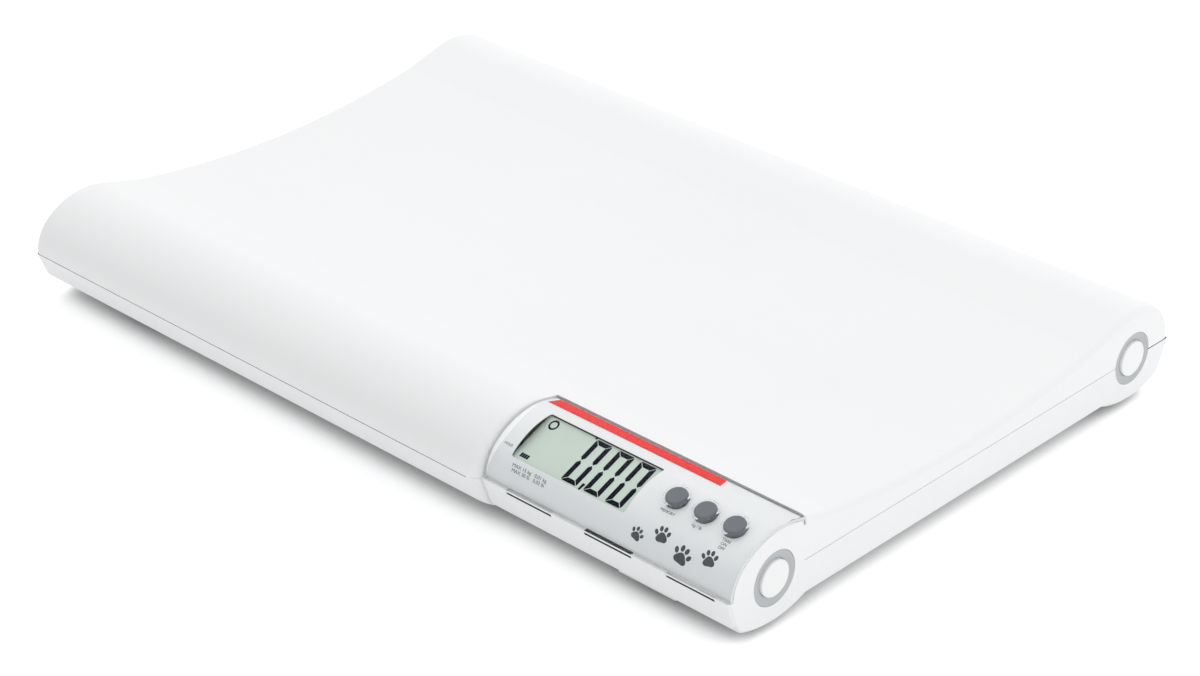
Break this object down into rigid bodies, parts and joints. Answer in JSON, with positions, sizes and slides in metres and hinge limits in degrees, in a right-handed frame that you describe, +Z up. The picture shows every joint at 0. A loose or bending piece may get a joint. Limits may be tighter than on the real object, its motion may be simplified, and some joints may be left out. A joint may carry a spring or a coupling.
{
  "type": "digital platform scale",
  "caption": "Low table scale with a cradle-shaped platform for small animals, a digital display with push buttons on its front beam, and load-cell feet.",
  "frame": {"origin": "on the table, under the middle of the scale", "axes": "+X along the length towards the display end, +Y from the front beam to the back beam, +Z up"},
  "size_m": [0.5636, 0.391, 0.064],
  "materials": {
    "white_shell": "satin moulded white plastic",
    "base_plastic": "fine-textured pale grey plastic",
    "clear_cover": "clear moulded plastic, polished",
    "label_print": "printed silver-grey sheet",
    "dark_plastic": "black moulded plastic",
    "lcd_glass": "liquid-crystal cell",
    "reflector_sheet": "grey-green diffusing sheet",
    "elastic_strip": "striped conductive rubber",
    "circuit_board": "green solder mask",
    "chip_plastic": "black moulded package",
    "steel_screw": "zinc-plated steel",
    "spring_steel": "bright sheet steel",
    "battery_can": "plain sleeved can",
    "button_rubber": "dark grey satin plastic",
    "plunger_plastic": "cream moulded plastic",
    "foot_plastic": "moulded grey plastic",
    "foot_rubber": "soft black rubber",
    "ring_plastic": "satin grey plastic",
    "disc_plastic": "satin white plastic"
  },
  "bodies": {
    "housing": {"platform_cover": "white_shell", "base_shell": "base_plastic", "display_cover": "clear_cover", "display_label": "label_print", "lcd_holder": "dark_plastic", "lcd_glass": "lcd_glass", "lcd_reflector": "reflector_sheet", "lcd_connectors": "elastic_strip", "display_board": "circuit_board", "key_board": "circuit_board", "board_chips": "chip_plastic", "key_switches": "dark_plastic", "case_screws": "steel_screw", "battery_box": "dark_plastic", "batteries": "battery_can", "battery_contacts": "spring_steel", "load_cells": "spring_steel", "end_rings": "ring_plastic", "end_discs": "disc_plastic"},
    "tare_key": {"tare_button": "button_rubber", "tare_plunger": "plunger_plastic"},
    "unit_key": {"unit_button": "button_rubber", "unit_plunger": "plunger_plastic"},
    "memory_key": {"memory_button": "button_rubber", "memory_plunger": "plunger_plastic"},
    "front_left_foot": {"front_left_foot_cup": "foot_plastic", "front_left_foot_pad": "foot_rubber"},
    "back_left_foot": {"back_left_foot_cup": "foot_plastic", "back_left_foot_pad": "foot_rubber"},
    "front_right_foot": {"front_right_foot_cup": "foot_plastic", "front_right_foot_pad": "foot_rubber"},
    "back_right_foot": {"back_right_foot_cup": "foot_plastic", "back_right_foot_pad": "foot_rubber"},
    "door": {"battery_door": "base_plastic"}
  },
  "joints": [
    {"name": "tare_press", "type": "slide", "parent": "housing", "child": "tare_key", "axis": [0, 0.312, -0.9501], "range_m": [0, 0.001], "stiffness_N_per_m": 1500},
    {"name": "unit_press", "type": "slide", "parent": "housing", "child": "unit_key", "axis": [0, 0.312, -0.9501], "range_m": [0, 0.001], "stiffness_N_per_m": 1500},
    {"name": "memory_press", "type": "slide", "parent": "housing", "child": "memory_key", "axis": [0, 0.312, -0.9501], "range_m": [0, 0.001], "stiffness_N_per_m": 1500},
    {"name": "front_left_foot_travel", "type": "slide", "parent": "housing", "child": "front_left_foot", "axis": [0, 0, 1], "range_m": [-0.0008, 0]},
    {"name": "back_left_foot_travel", "type": "slide", "parent": "housing", "child": "back_left_foot", "axis": [0, 0, 1], "range_m": [-0.0008, 0]},
    {"name": "front_right_foot_travel", "type": "slide", "parent": "housing", "child": "front_right_foot", "axis": [0, 0, 1], "range_m": [-0.0008, 0]},
    {"name": "back_right_foot_travel", "type": "slide", "parent": "housing", "child": "back_right_foot", "axis": [0, 0, 1], "range_m": [-0.0008, 0]},
    {"name": "battery_door_hinge", "type": "hinge", "parent": "housing", "child": "door", "pos_m": [0.15, -0.0734, 0.0116], "axis": [-1, 0, 0], "range_deg": [0, 40]}
  ]
}
